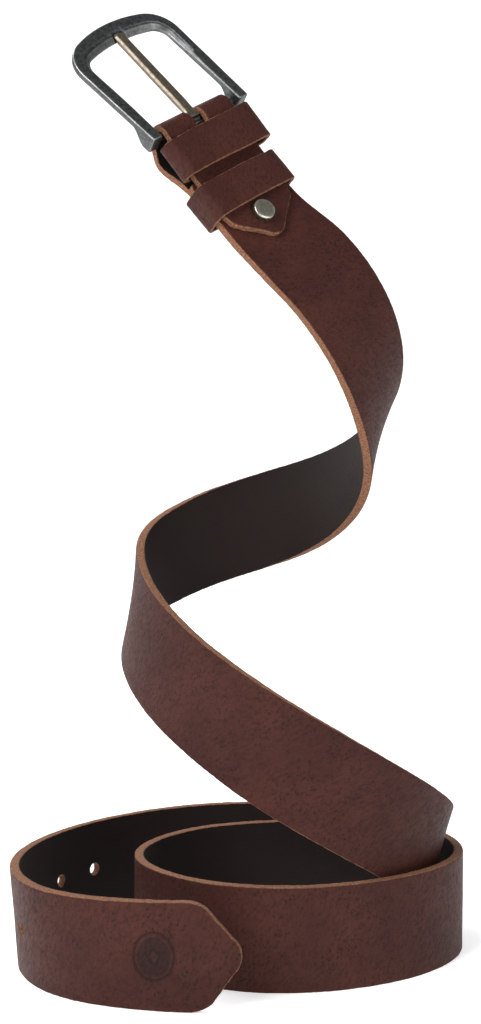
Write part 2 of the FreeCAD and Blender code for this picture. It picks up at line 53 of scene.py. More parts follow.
# ---- strap ----
STRAP_WIDTH = 40.0
STRAP_THICK = 3.7
STRAP_END = 22.5             # from the bar to the strap's square end
END_GAP = 0.4                # cut off that end, to clear the front keeper as it slides
TIP = (20.0, 14.0, 8.0, 52.0)             # half width, corner, nose, flank angle
HOLES = [93.0 + 20.8 * i for i in range(5)]   # from the tip
HOLE_RADIUS = 2.5
RIVET_AT = 46.7              # from the bar
RIVET_SHIFT = -2.6           # across
RIVET_HOLE = 1.65
CORNER = 1.3                 # radius at the corners of square ends
EMBLEM_AT = 31.8             # from the tip
EMBLEM_HALF = (7.4, 8.8)     # along and across
DIAMOND_HALF = (6.0, 7.4)
EMBLEM_SPOT = (10.5, 0.4)    # radius and spacing of the finer mesh there

# ---- buckle end ----
BAR_ALONG = -0.3             # the bar's place beside the end of the strap's straight run
BAR_OUT = 2.5
BUCKLE_SHIFT = 1.2
BUCKLE_TILT = math.radians(-7.5)
TAB_WIDTH = 36.0
TAB_THICK = 2.8
TAB_NOSE = 57.0
TAB_TAIL = 54.0
TAB_POINT = (18.0, 14.0, 6.0, 55.0)
TAB_LEVEL = (STRAP_THICK + TAB_THICK) / 2 + 0.05
BAR_RADIUS = 1.6
FOLD_GAP = 0.3               # between the bar and the tab
FOLD_REACH = BAR_RADIUS + FOLD_GAP + TAB_THICK / 2    # from the bar's axis to the tab's middle
SLOT_HALF = 3.2
SLOT_FRONT = 4.2             # from the bar to the slot's two ends
SLOT_BACK = 8.5
SLOT_CORNER = 1.0
TAB_SHIFT = 1.2              # across, of both flaps at the bar
TAB_SKEW = 0.05
BACK_SHIFTS = ((0.0, 8.0, -1.7), (20.0, 38.0, 1.3))    # from, to and how far, behind the bar
KEEPER_THICK = 2.0
KEEPER_CORNER = 2.9
BUTT_GAP = 0.1               # on each side of the middle, where a keeper's ends meet
FRONT_KEEPER = ((12.7, 2.0, -4.0), (16.0, 21.7, 1.9, 6.7))     # back, across, tilt; length,
REAR_KEEPER = ((33.6, 0.0, 0.0), (14.6, 20.3, -4.95, 4.95))    # half width, low, high


# ---------------------------------------------------------------- small tools
def joint(name):
    return next(j for j in frame["joints"] if j["name"] == name)


def noise(x, y, seed=0):
    """Smooth lumps between -1 and 1, about one to a unit."""
    column, row = np.floor(x), np.floor(y)

    def lattice(i, j):
        mixed = np.sin(i * 127.1 + j * 311.7 + seed * 74.7) * 43758.5453
        return 2 * (mixed - np.floor(mixed)) - 1

    u, v = x - column, y - row
    u, v = u * u * (3 - 2 * u), v * v * (3 - 2 * v)
    low = lattice(column, row) * (1 - u) + lattice(column + 1, row) * u
    high = lattice(column, row + 1) * (1 - u) + lattice(column + 1, row + 1) * u
    return low * (1 - v) + high * v


def smoothstep(low, high, value):
    share = np.clip((value - low) / (high - low), 0, 1)
    return share * share * (3 - 2 * share)


class Curve:
    """A cubic spline through points, by distance along their chords."""

    def __init__(self, points, first_slope=None, last_slope=None):
        self.points = np.asarray(points, float)
        steps = np.linalg.norm(np.diff(self.points, axis=0), axis=1)
        self.knots = np.concatenate([[0.0], np.cumsum(steps)])
        count = len(self.points)
        system = np.zeros((count, count))
        wanted = np.zeros_like(self.points)
        slopes = np.diff(self.points, axis=0) / steps[:, None]
        inner = np.arange(1, count - 1)
        system[inner, inner - 1] = steps[1:]
        system[inner, inner] = 2 * (steps[1:] + steps[:-1])
        system[inner, inner + 1] = steps[:-1]
        wanted[1:-1] = 3 * (steps[1:, None] * slopes[:-1] + steps[:-1, None] * slopes[1:])
        for end, beside, given, natural in ((0, 1, first_slope, slopes[0]),
                                            (-1, -2, last_slope, slopes[-1])):
            if given is None:
                system[end, end], system[end, beside] = 2, 1
                wanted[end] = 3 * natural
            else:
                system[end, end] = 1
                wanted[end] = given
        self.slopes = np.linalg.solve(system, wanted)
        self.length = self.knots[-1]

    def at(self, where):
        """Places and slopes at these distances; beyond an end the curve runs straight on."""
        where = np.atleast_1d(np.asarray(where, float))
        span = np.clip(np.searchsorted(self.knots, where) - 1, 0, len(self.knots) - 2)
        step = (self.knots[span + 1] - self.knots[span])[:, None]
        inside = np.clip(where, 0, self.length)
        t = (inside - self.knots[span])[:, None] / step
        start, end = self.points[span], self.points[span + 1]
        first, last = self.slopes[span] * step, self.slopes[span + 1] * step
        place = ((2 * t ** 3 - 3 * t ** 2 + 1) * start + (t ** 3 - 2 * t ** 2 + t) * first
                 + (3 * t ** 2 - 2 * t ** 3) * end + (t ** 3 - t ** 2) * last)
        slope = ((6 * t ** 2 - 6 * t) * (start - end) + (3 * t ** 2 - 4 * t + 1) * first
                 + (3 * t ** 2 - 2 * t) * last) / step
        return place + slope * (where - inside)[:, None], slope


def unit(vectors):
    return vectors / np.linalg.norm(vectors, axis=-1, keepdims=True)


# ---------------------------------------------------------------- the buckle end's axes
bar_centre = np.array(joint("buckle_swing")["pos_m"]) / MM
across = unit(np.array(joint("buckle_swing")["axis"]))
along = unit(np.array(joint("rear_keeper_slide")["axis"]))
out = np.cross(across, along)
run_end = bar_centre - along * BAR_ALONG - out * BAR_OUT - across * BUCKLE_SHIFT
buckle_along = along * math.cos(BUCKLE_TILT) + out * math.sin(BUCKLE_TILT)
buckle_out = out * math.cos(BUCKLE_TILT) - along * math.sin(BUCKLE_TILT)


def at_run(x, y, z):
    """Places from distances along, across and out from the end of the strap's straight run."""
    x, y, z = np.broadcast_arrays(x, y, z)
    return run_end + x[..., None] * along + y[..., None] * across + z[..., None] * out


def at_bar(x, y, z):
    """The same from the bar's axis, in the tilted buckle's axes."""
    x, y, z = np.broadcast_arrays(x, y, z)
    return bar_centre + x[..., None] * buckle_along + y[..., None] * across + z[..., None] * buckle_out


# ---------------------------------------------------------------- the strap's path
SHARP = 0.9                  # radians between the faces at a sharp edge


def sharp_edges(source):
    """Both ends of every sharp edge of a mesh, in millimetres."""
    mesh = bmesh.new()
    mesh.from_mesh(source)
    bmesh.ops.remove_doubles(mesh, verts=mesh.verts, dist=1e-6)
    ends = [[vert.co[:] for vert in edge.verts] for edge in mesh.edges
            if len(edge.link_faces) == 2 and edge.calc_face_angle() > SHARP]
    mesh.free()
    return np.array(ends) / MM


def fine_points(curve, step):
    return curve.at(np.linspace(0, curve.length, int(curve.length / step)))[0]


def eased(values):
    """Rows of values with their unevenness smoothed away and their bends kept."""
    values = np.array(values)
    for share in (0.5, -0.5) * 4:
        values[1:-1] += share * (0.5 * values[:-2] - values[1:-1] + 0.5 * values[2:])
    return list(values)


class BeltLine:
    """The strap's cross-sections by distance back from the bar, read from the CAD strap."""

    STEP = 3.0
    TAIL = 10                # sections that carry the end of the curve on to the tip
    TOLERANCE = 1.5          # how far from its expected place a corner may lie

    def __init__(self):
        self.edges = sharp_edges(frame["nodes"]["strap"].data)
        centres, sides = [at_run(-STRAP_END, 0.0, 0.0)], [across]
        heading, turned, full_width = -along, across, True
        while full_width:
            guess = centres[-1] + heading * self.STEP
            centre, side, width = self.section(guess, heading, turned)
            full_width = width > STRAP_WIDTH - 1.0
            if full_width:
                centres.append(centre)
                sides.append(side)
                heading = unit(centres[-1] - centres[-2])
                turned = 2 * sides[-1] - sides[-2]
        headings = unit(Curve(centres).slopes)
        again = [self.section(*given)[:2] for given in zip(centres[1:], headings[1:], sides[1:])]
        centres = eased(centres[:1] + [centre for centre, side in again])
        sides = eased(sides[:1] + [side for centre, side in again])
        for _ in range(self.TAIL):
            self.carry_on(centres, sides)
        self.line = Curve(centres)
        self.sides = np.array(sides)
        reach = self.edges[:, 0] - centres[-self.TAIL - 1]
        near_tip = np.linalg.norm(reach, axis=1) < STRAP_WIDTH
        beyond = (reach[near_tip] @ unit(self.line.slopes[-self.TAIL - 1])).max()
        self.length = STRAP_END + self.line.knots[-self.TAIL - 1] + beyond

    def section(self, guess, heading, side):
        """Where a plane cuts the strap: its middle, the direction of its width, and its width."""
        start, end = self.edges[:, 0] - guess, self.edges[:, 1] - guess
        low, high = start @ heading, end @ heading
        cut = (low > 0) != (high > 0)
        share = (low[cut] / (low[cut] - high[cut]))[:, None]
        points = start[cut] * (1 - share) + end[cut] * share
        side = unit(side - heading * (side @ heading))
        outward = np.cross(heading, side)
        middles = []
        for way in (1, -1):
            corners = []
            for face in (1, -1):
                wanted = side * way * STRAP_WIDTH / 2 + outward * face * STRAP_THICK / 2
                distance = np.linalg.norm(points - wanted, axis=1)
                found = distance.min() < self.TOLERANCE
                corners.append(points[distance.argmin()] if found else wanted)
            middles.append(sum(corners) / 2)
        upper, lower = middles
        return guess + (upper + lower) / 2, unit(upper - lower), np.linalg.norm(upper - lower)

    @staticmethod
    def carry_on(centres, sides):
        """One more section, turned from the last as the last turned from the one before."""
        step = centres[-1] - centres[-2]
        turned = unit(2 * step - (centres[-2] - centres[-3]))
        centres.append(centres[-1] + turned * np.linalg.norm(step))
        sides.append(unit(2 * sides[-1] - sides[-2]))

    def locate(self, s, w, h):
        """Places on the strap: s back from the bar, w across it, h out from its middle."""
        centre, slope = self.line.at(s - STRAP_END)
        knots = self.line.knots
        side = np.stack([np.interp(s - STRAP_END, knots, self.sides[:, i]) for i in range(3)], 1)
        slope = unit(slope)
        side = unit(side - slope * (side * slope).sum(1)[:, None])
        outward = np.cross(slope, side)
        return centre + side * np.asarray(w)[:, None] + outward * np.asarray(h)[:, None]


# ---------------------------------------------------------------- flat outlines
ARC_STEP = 0.25              # between the points of an outline's arcs


def arc_points(centre, radius, start, end, count):
    angles = np.linspace(start, end, count)
    return np.array(centre) + radius * np.stack([np.cos(angles), np.sin(angles)], 1)


def arc(centre, radius, start, end):
    count = max(3, int(abs(end - start) * radius / ARC_STEP))
    return arc_points(centre, radius, start, end, count)


def pointed_end(half_width, corner, nose, flank_angle):
    """A rounded point with its apex at s = 0 and its body at negative s, from -w to +w."""
    turn = math.radians(flank_angle)
    rise = half_width - corner + (corner - nose) * math.cos(turn)
    corner_s = -(nose + (corner - nose) * math.sin(turn) + rise / math.tan(turn))
    upper = half_width - corner
    half = [arc((-nose, 0), nose, 0, turn),
            arc((corner_s, upper), corner, turn, math.pi / 2)]
    half = np.concatenate(half)
    mirrored = half[::-1] * (1, -1)
    return np.concatenate([mirrored[:-1], half])


def square_end(s, half, radius):
    """Both corners of a square end at s, slightly rounded; the body lies towards higher s."""
    upper = arc((s + radius, half - radius), radius, math.pi / 2, math.pi)
    lower = arc((s + radius, radius - half), radius, math.pi, 1.5 * math.pi)
    return np.concatenate([upper, lower])


def circle(centre, radius):
    """Clockwise, as a hole."""
    return arc(centre, radius, 2 * math.pi, 0)[:-1]


def evenly(loop, step):
    """A closed loop of points with an even spacing."""
    closed = np.concatenate([loop, loop[:1]])
    travelled = np.concatenate([[0], np.cumsum(np.linalg.norm(np.diff(closed, axis=0), axis=1))])
    count = max(8, int(travelled[-1] / step))
    places = np.arange(count) / count * travelled[-1]
    return np.stack([np.interp(places, travelled, closed[:, i]) for i in range(2)], 1)


def outward(loop):
    """The direction out of the leather at each point of a loop that has leather on its left."""
    run = np.roll(loop, -1, axis=0) - np.roll(loop, 1, axis=0)
    return unit(np.stack([run[:, 1], -run[:, 0]], 1))


def inside(points, loops):
    """Which points lie inside the loops, by counting crossings."""
    crossings = np.zeros(len(points), int)
    for loop in loops:
        for (s0, w0), (s1, w1) in zip(loop, np.roll(loop, -1, axis=0)):
            if w0 == w1:
                continue
            spans = (w0 > points[:, 1]) != (w1 > points[:, 1])
            meets = s0 + (points[:, 1] - w0) * (s1 - s0) / (w1 - w0)
            crossings += spans & (points[:, 0] < meets)
    return crossings % 2 == 1


def fill_points(loops, spacing, spots):
    """Points inside the loops: an even pattern, and closer ones within the spots."""
    low, high = loops[0].min(0), loops[0].max(0)
    sets = [(low, high, spacing, None)]
    for centre, radius, close in spots:
        sets.append((np.array(centre) - radius, np.array(centre) + radius, close, (centre, radius)))
    tree = KDTree(sum(len(loop) for loop in loops))
    for i, point in enumerate(np.concatenate(loops)):
        tree.insert((*point, 0), i)
    tree.balance()
    kept = []
    for low, high, step, spot in sets:
        columns = np.arange(low[0] + step / 2, high[0], step)
        rows = np.arange(low[1] + step / 2, high[1], step * 0.87)
        grid = np.stack(np.meshgrid(columns, rows, indexing="ij"), -1)
        grid[:, ::2, 0] += step / 2
        points = grid.reshape(-1, 2)
        for centre, radius, close in spots:
            distance = np.linalg.norm(points - centre, axis=1)
            same = spot is not None and spot[0] is centre
            points = points[distance < radius] if same else points[distance > radius + step / 3]
        clear = [tree.find((*point, 0))[2] > 0.6 * step for point in points]
        points = points[np.array(clear)]
        kept.append(points[inside(points, loops)])
    return np.concatenate(kept)


RIM_INSET = 0.95             # from the cut edge to the flat part of a sheet
ROUND_GRAIN = 0.55           # radii at the cut edge
ROUND_FLESH = 0.4
EDGE_ROWS = 5


def edge_profile(thick):
    """(inset, height) down the cut edge, from the grain face to the flesh face."""
    half = thick / 2
    profile = [(RIM_INSET, half)]
    for angle in np.linspace(0, math.pi / 2, 5):
        profile.append((ROUND_GRAIN * (1 - math.sin(angle)),
                        half - ROUND_GRAIN * (1 - math.cos(angle))))
    for height in np.linspace(half - ROUND_GRAIN, -half + ROUND_FLESH, EDGE_ROWS)[1:-1]:
        profile.append((0.0, height))
    for angle in np.linspace(math.pi / 2, 0, 4):
        profile.append((ROUND_FLESH * (1 - math.sin(angle)),
                        -half + ROUND_FLESH * (1 - math.cos(angle))))
    profile.append((RIM_INSET, -half))
    return profile


# ---------------------------------------------------------------- sheets of leather
def no_relief(s, w):
    return np.zeros_like(s)


def leather_sheet(name, locate, loops, thick, body, stands_for, relief=no_relief,
                  press_and_shade=no_relief, step=0.8, spacing=2.2, spots=(), seed=1, fuzz=0.12):
    """Bends a flat outline with holes into place as one closed sheet with rounded cut edges."""
    loops = [evenly(loop, step) for loop in loops]
    profile = edge_profile(thick)
    rims = [loop - outward(loop) * RIM_INSET for loop in loops]
    filling = fill_points(rims, spacing, spots)
    border = np.concatenate(rims)
    edges, start = [], 0
    for rim in rims:
        count = len(rim)
        edges += [(start + i, start + (i + 1) % count) for i in range(count)]
        start += count
    flat = [Vector(point) for point in np.concatenate([border, filling])]
    places, _, triangles, origins, _, _ = delaunay_2d_cdt(flat, edges, [], 2, 1e-5)
    places = np.array(places)
    middles = places[np.array(triangles)].mean(1)
    in_hole = inside(middles, rims[1:])
    triangles = [triangle for triangle, gone in zip(triangles, in_hole) if not gone]
    s, w = places.T
    inner_of = {}
    for i, sources in enumerate(origins):
        for source in sources:
            inner_of[source] = i
    lumps = relief(s, w)
    back = 0.06 * noise(s / 17, w / 11, seed + 5)
    grain = locate(s, w, thick / 2 + lumps)
    flesh = locate(s, w, -thick / 2 + back)
    count = len(s)
    vertices = [grain, flesh]
    about = [np.stack([s, w, np.full(count, height)], 1) for height in (thick / 2, -thick / 2)]
    rim_distance = [np.full(2 * count, 1.0)]
    # Darkness of pressed marks on the grain face, with painted shade in their grooves.
    pressed_and_shaded = [press_and_shade(s, w), np.zeros(count)]
    faces = [tuple(triangle) for triangle in triangles]
    materials = [0] * len(faces)
    faces += [tuple(count + i for i in reversed(triangle)) for triangle in triangles]
    materials += [1] * len(triangles)
    loop_all, out_all = np.concatenate(loops), np.concatenate([outward(loop) for loop in loops])
    total = 2 * count
    rows = [[inner_of[i] for i in range(len(border))]]
    travelled = np.arange(len(loop_all)) * step
    for number, (distance, height) in enumerate(profile[1:-1]):
        rough = fuzz * (noise(travelled / 1.1, np.full(len(loop_all), number * 1.3), seed)
                        + 0.6 * noise(travelled / 6.0, np.full(len(loop_all), height / 2), seed + 1))
        ring = loop_all - out_all * (distance - rough * (distance < 0.4))[:, None]
        wave = relief(ring[:, 0], ring[:, 1]) * (height > 0)
        vertices.append(locate(ring[:, 0], ring[:, 1], height + wave))
        about.append(np.stack([ring[:, 0], ring[:, 1], np.full(len(ring), height)], 1))
        rim_distance.append(np.full(len(ring), distance))
        pressed_and_shaded.append(np.zeros(len(ring)))
        rows.append(list(range(total, total + len(ring))))
        total += len(ring)
    rows.append([count + inner_of[i] for i in range(len(border))])
    for number, (upper, lower) in enumerate(zip(rows, rows[1:])):
        kind = 0 if number < 3 else 2 if number < len(rows) - 3 else 1
        start = 0
        for loop in loops:
            for i in range(len(loop)):
                j = start + (i + 1) % len(loop)
                i += start
                faces.append((upper[i], lower[i], lower[j], upper[j]))
                materials.append(kind)
            start += len(loop)
    piece = new_piece(name, np.concatenate(vertices), faces, body, stands_for)
    add_attribute(piece, "place", "FLOAT_VECTOR", np.concatenate(about))
    add_attribute(piece, "rim", "FLOAT", np.concatenate(rim_distance))
    add_attribute(piece, "press_and_shade", "FLOAT", np.concatenate(pressed_and_shaded))
    piece.data.polygons.foreach_set("material_index", materials)
    for material in (GRAIN, FLESH, CUT_EDGE):
        piece.data.materials.append(material)
    return piece


def new_piece(name, vertices, faces, body, stands_for):
    """A smooth closed mesh that rides on a body and stands for CAD nodes."""
    mesh = bpy.data.meshes.new(name)
    mesh.from_pydata((np.asarray(vertices) * MM).tolist(), [], faces)
    shape = bmesh.new()
    shape.from_mesh(mesh)
    bmesh.ops.recalc_face_normals(shape, faces=shape.faces)
    shape.to_mesh(mesh)
    shape.free()
    mesh.shade_smooth()
    piece = bpy.data.objects.new(name, mesh)
    bpy.context.scene.collection.objects.link(piece)
    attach(piece, body)
    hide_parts(stands_for)
    return piece


def add_attribute(piece, name, kind, values):
    attribute = piece.data.attributes.new(name, kind, "POINT")
    key = "vector" if kind == "FLOAT_VECTOR" else "value"
    attribute.data.foreach_set(key, np.asarray(values, np.float32).ravel())


# ---------------------------------------------------------------- materials
class Paint:
    """A node material being built: add() makes a node and returns one of its outputs."""

    def __init__(self, name):
        self.material = bpy.data.materials.new(name)
        self.material.use_nodes = True
        self.tree = self.material.node_tree
        self.shader = self.tree.nodes["Principled BSDF"]

    def feed(self, socket, value):
        if isinstance(value, bpy.types.NodeSocket):
            self.tree.links.new(value, socket)
        else:
            socket.default_value = value

    def add(self, kind, inputs, output=0, **settings):
        node = self.tree.nodes.new("ShaderNode" + kind)
        for key, value in settings.items():
            setattr(node, key, value)
        for key, value in inputs.items():
            self.feed(node.inputs[key], value)
        return node.outputs[output]

    def finish(self, **inputs):
        for key, value in inputs.items():
            self.feed(self.shader.inputs[key.replace("_", " ")], value)
        return self.material

    def attribute(self, name, output="Vector"):
        return self.add("Attribute", {}, output, attribute_name=name)

    def scaled(self, vector, scale):
        return self.add("VectorMath", {0: vector, 1: scale}, operation="MULTIPLY")

    def math(self, operation, first, second=0.0):
        return self.add("Math", {0: first, 1: second}, operation=operation)

    def noise(self, vector, scale=1.0, detail=3.0, rough=0.55):
        inputs = {"Vector": vector, "Scale": scale, "Detail": detail, "Roughness": rough}
        return self.add("TexNoise", inputs, "Fac")

    def cells(self, vector, random=1.0, **settings):
        inputs = {"Vector": vector, "Scale": 1.0, "Randomness": random}
        return self.add("TexVoronoi", inputs, "Distance", **settings)

    def between(self, value, low, high, to_low=0.0, to_high=1.0):
        """Value taken smoothly from one range to another."""
        inputs = {"Value": value, "From Min": low, "From Max": high, "To Min": to_low,
                  "To Max": to_high}
        return self.add("MapRange", inputs, interpolation_type="SMOOTHSTEP")

    def mix(self, share, first, second):
        inputs = {0: share, 6: first, 7: second}
        return self.add("Mix", inputs, 2, data_type="RGBA")

    def bump(self, height, distance, normal=None):
        inputs = {"Height": height, "Distance": distance * MM, "Strength": 1.0}
        if normal is not None:
            inputs["Normal"] = normal
        return self.add("Bump", inputs)


def colour(red, green, blue):
    """A colour from the 0 to 255 values that it shows on a screen."""
    def linear(value):
        value /= 255
        return value / 12.92 if value <= 0.04045 else ((value + 0.055) / 1.055) ** 2.4
    return (linear(red), linear(green), linear(blue), 1.0)


def grain_leather():
    """Smooth outer leather: dark reddish brown, with pores in wandering rows and a soft shine."""
    paint = Paint("grain_leather")
    place = paint.attribute("place")
    wander = paint.add("TexNoise", {"Vector": place, "Scale": 0.16, "Detail": 2.0}, "Color")
    bent = paint.add("VectorMath", {0: place, 1: paint.scaled(wander, (3.0, 3.0, 0.0))},
                     operation="ADD")
    pores = paint.cells(paint.scaled(bent, (0.72, 0.62, 0.0)), random=0.8)
    crowd = paint.noise(place, 0.07, 2.0)
    pore = paint.between(pores, 0.08, 0.5, 1.0, 0.0)
    pore = paint.math("MULTIPLY", pore, paint.between(crowd, 0.36, 0.58, 0.3, 1.0))
    small = paint.cells(paint.scaled(bent, (1.5, 1.3, 0.0)), random=0.9)
    small = paint.between(small, 0.1, 0.34, 1.0, 0.0)
    slanted = paint.add("VectorRotate", {"Vector": bent, "Angle": 0.5}, rotation_type="Z_AXIS")
    rows = paint.noise(paint.scaled(slanted, (0.85, 0.4, 0.2)), 1.0, 4.0, 0.62)
    cloud = paint.noise(place, 0.03, 3.0)
    tone = paint.mix(paint.between(cloud, 0.3, 0.7), colour(58, 26, 20), colour(70, 34, 26))
    tone = paint.mix(paint.between(rows, 0.42, 0.72, 0.0, 0.55), tone, colour(40, 17, 13))
    tone = paint.mix(paint.math("MULTIPLY", pore, 0.72), tone, colour(18, 8, 6))
    tone = paint.mix(paint.math("MULTIPLY", small, 0.35), tone, colour(20, 9, 7))
    # Darker in the medallion: partly the pressed leather's own tone, partly painted shade in its groove and
    # ring.
    pressed_and_shaded = paint.attribute("press_and_shade", "Fac")
    tone = paint.mix(paint.math("MULTIPLY", pressed_and_shaded, 0.85), tone, colour(26, 17, 17))
    rim = paint.attribute("rim", "Fac")
    worn = paint.between(rim, 0.0, 0.5, 1.0, 0.0)
    worn = paint.math("MULTIPLY", worn, paint.between(paint.noise(place, 1.2), 0.45, 0.6))
    tone = paint.mix(worn, tone, colour(104, 62, 44))
    hair = paint.cells(paint.scaled(bent, (2.6, 2.1, 0.0)), feature="DISTANCE_TO_EDGE")
    crease = paint.between(hair, 0.0, 0.2)
    normal = paint.bump(crease, 0.06)
    normal = paint.bump(pore, -0.12, normal=normal)
    normal = paint.bump(rows, 0.22, normal=normal)
    rough = paint.between(rows, 0.35, 0.7, 0.46, 0.62)
    return paint.finish(Base_Color=tone, Roughness=rough, Normal=normal, IOR=1.4,
                        Specular_IOR_Level=0.24)


def flesh_leather():
    """The inner side: nearly black, with short fibres."""
    paint = Paint("flesh_leather")
    place = paint.attribute("place")
    fibre = paint.noise(paint.scaled(place, (0.9, 1.6, 0.5)), 1.0, 5.0, 0.7)
    nap = paint.noise(place, 4.0, 3.0)
    tone = paint.mix(fibre, colour(16, 9, 8), colour(32, 19, 17))
    tone = paint.mix(paint.between(nap, 0.55, 0.75, 0.0, 0.5), tone, colour(46, 29, 25))
    normal = paint.bump(nap, 0.12)
    normal = paint.bump(fibre, 0.2, normal=normal)
    return paint.finish(Base_Color=tone, Roughness=0.7, Normal=normal, Specular_IOR_Level=0.2)


def cut_edge():
    """Raw tan fibres on the cut edges, darker where the dye has crept in."""
    paint = Paint("cut_edge")
    place = paint.attribute("place")
    fibre = paint.noise(paint.scaled(place, (1.4, 1.4, 1.2)), 1.0, 5.0, 0.75)
    strands = paint.noise(paint.scaled(place, (3.5, 3.5, 6.0)), 1.0, 3.0, 0.7)
    tone = paint.mix(paint.between(fibre, 0.35, 0.65), colour(92, 57, 42), colour(168, 118, 86))
    tone = paint.mix(paint.between(strands, 0.5, 0.7, 0.0, 0.8), tone, colour(66, 39, 30))
    normal = paint.bump(strands, 0.35)
    normal = paint.bump(fibre, 0.3, normal=normal)
    return paint.finish(Base_Color=tone, Roughness=0.85, Normal=normal, IOR=1.4)


def worn_metal(name, dark, light, bright, rough, polish=1.0):
    """Plated metal with a mottled skin, rubbed bright where the attribute 'wear' says."""
    paint = Paint(name)
    place = paint.add("TexCoord", {}, "Object")
    place = paint.scaled(place, (1000.0, 1000.0, 1000.0))
    mottle = paint.noise(place, 0.8, 5.0, 0.65)
    grit = paint.noise(place, 5.0, 3.0, 0.7)
    tone = paint.mix(paint.between(mottle, 0.35, 0.65), dark, light)
    tone = paint.mix(paint.between(grit, 0.5, 0.7, 0.0, 0.45 * polish), tone, bright)
    wear = paint.attribute("wear", "Fac")
    patch = paint.between(paint.noise(place, 0.5, 4.0), 0.3, 0.6, 0.35, 1.0)
    shine = paint.math("MULTIPLY", paint.math("MULTIPLY", wear, patch), polish)
    tone = paint.mix(shine, tone, bright)
    roughness = paint.between(grit, 0.3, 0.7, rough - 0.07, rough + 0.1)
    roughness = paint.math("SUBTRACT", roughness, paint.math("MULTIPLY", shine, 0.12))
    normal = paint.bump(grit, 0.03)
    normal = paint.bump(mottle, 0.06, normal=normal)
    return paint.finish(Base_Color=tone, Metallic=1.0, Roughness=roughness, Normal=normal)


GRAIN = grain_leather()
FLESH = flesh_leather()
CUT_EDGE = cut_edge()
GUNMETAL = worn_metal("gunmetal", colour(66, 68, 69), colour(98, 100, 100), colour(176, 178, 176), 0.44, 0.6)
OLD_SILVER = worn_metal("old_silver", colour(88, 78, 68), colour(124, 112, 98),
                        colour(176, 166, 150), 0.5, 0.5)
RIVET_METAL = worn_metal("rivet_metal", colour(112, 108, 94), colour(146, 142, 126),
                         colour(206, 202, 188), 0.38)
WIRE = worn_metal("staple_wire", colour(120, 116, 108), colour(150, 146, 138),
                  colour(200, 198, 190), 0.35)


# ---------------------------------------------------------------- strap
def strap_outline(length):
    tip = pointed_end(*TIP) + (length, 0)
    return np.concatenate([tip, square_end(STRAP_END + END_GAP, STRAP_WIDTH / 2, CORNER)])


def emblem_depth(s, w, middle):
    """Depth of a plain medallion (an oval groove round a field with a raised diamond) and its darkness: the
    pressed field's own darker tone, plus painted shade in the groove and the ring round the diamond.
    """
    from_middle = np.hypot((s - middle) / EMBLEM_HALF[0], w / EMBLEM_HALF[1])
    from_diamond = abs(s - middle) / DIAMOND_HALF[0] + abs(w) / DIAMOND_HALF[1]
    groove = np.exp(-((from_middle - 1.0) * 8.0 / 0.6) ** 2)
    field = smoothstep(0.87, 0.79, from_middle)
    diamond = smoothstep(0.62, 0.5, from_diamond)
    ring = smoothstep(0.14, 0.08, abs(from_diamond - 0.42))
    depth = 0.5 * groove + 0.42 * field * (1 - diamond) + 0.35 * ring * field
    return depth, np.clip(0.75 * field * (1 - 0.6 * diamond) + 0.8 * groove + ring * field, 0, 1)


def make_strap(line):
    length = line.length
    middle = length - EMBLEM_AT
    loops = [strap_outline(length)]
    loops += [circle((length - hole, 0), HOLE_RADIUS) for hole in HOLES]
    loops.append(circle((RIVET_AT, RIVET_SHIFT), RIVET_HOLE))

    def relief(s, w):
        clear = smoothstep(60, 80, s)
        lumps = 0.09 * noise(s / 19, w / 13, 3) + 0.04 * noise(s / 6, w / 5, 4)
        return lumps * clear - emblem_depth(s, w, middle)[0]

    def press_and_shade(s, w):
        return emblem_depth(s, w, middle)[1]

    return leather_sheet("belt_strap", line.locate, loops, STRAP_THICK, "belt", "strap",
                         relief=relief, press_and_shade=press_and_shade, spots=[((middle, 0.0), *EMBLEM_SPOT)], seed=1)


# ---------------------------------------------------------------- buckle tab
def tab_offset(x):
    """How far the front flap lies to one side."""
    return TAB_SHIFT + TAB_SKEW * np.minimum(x, 0.0)


def back_offset(x):
    """The same for the back flap."""
    back = -np.asarray(x, float)
    return TAB_SHIFT + sum(far * smoothstep(start, end, back) for start, end, far in BACK_SHIFTS)


def tab_path():
    """The tab's middle line in (along, out), from the front flap's point round the bar to its tail."""
    diagonal = FOLD_REACH * math.sqrt(0.5)
    fold = [(-24.0, TAB_LEVEL), (-12.0, 4.4), (-5.0, 5.35),
            (BAR_ALONG, BAR_OUT + FOLD_REACH),
            (BAR_ALONG + diagonal, BAR_OUT + diagonal),
            (BAR_ALONG + FOLD_REACH, BAR_OUT),
            (1.8, -2.8), (-2.5, -6.7), (-9.0, -7.7), (-17.0, -5.1), (-26.0, -TAB_LEVEL)]
    curve = Curve(fold, (1, 0), (-1, 0))
    bend = fine_points(curve, 0.5)
    front = [(x, TAB_LEVEL) for x in np.arange(-TAB_NOSE, -24.5, 1.0)]
    back = [(x, -TAB_LEVEL) for x in np.arange(-27.0, -TAB_TAIL - 0.5, -1.0)]
    return Curve(np.concatenate([front, bend, back]), (1, 0), (-1, 0))


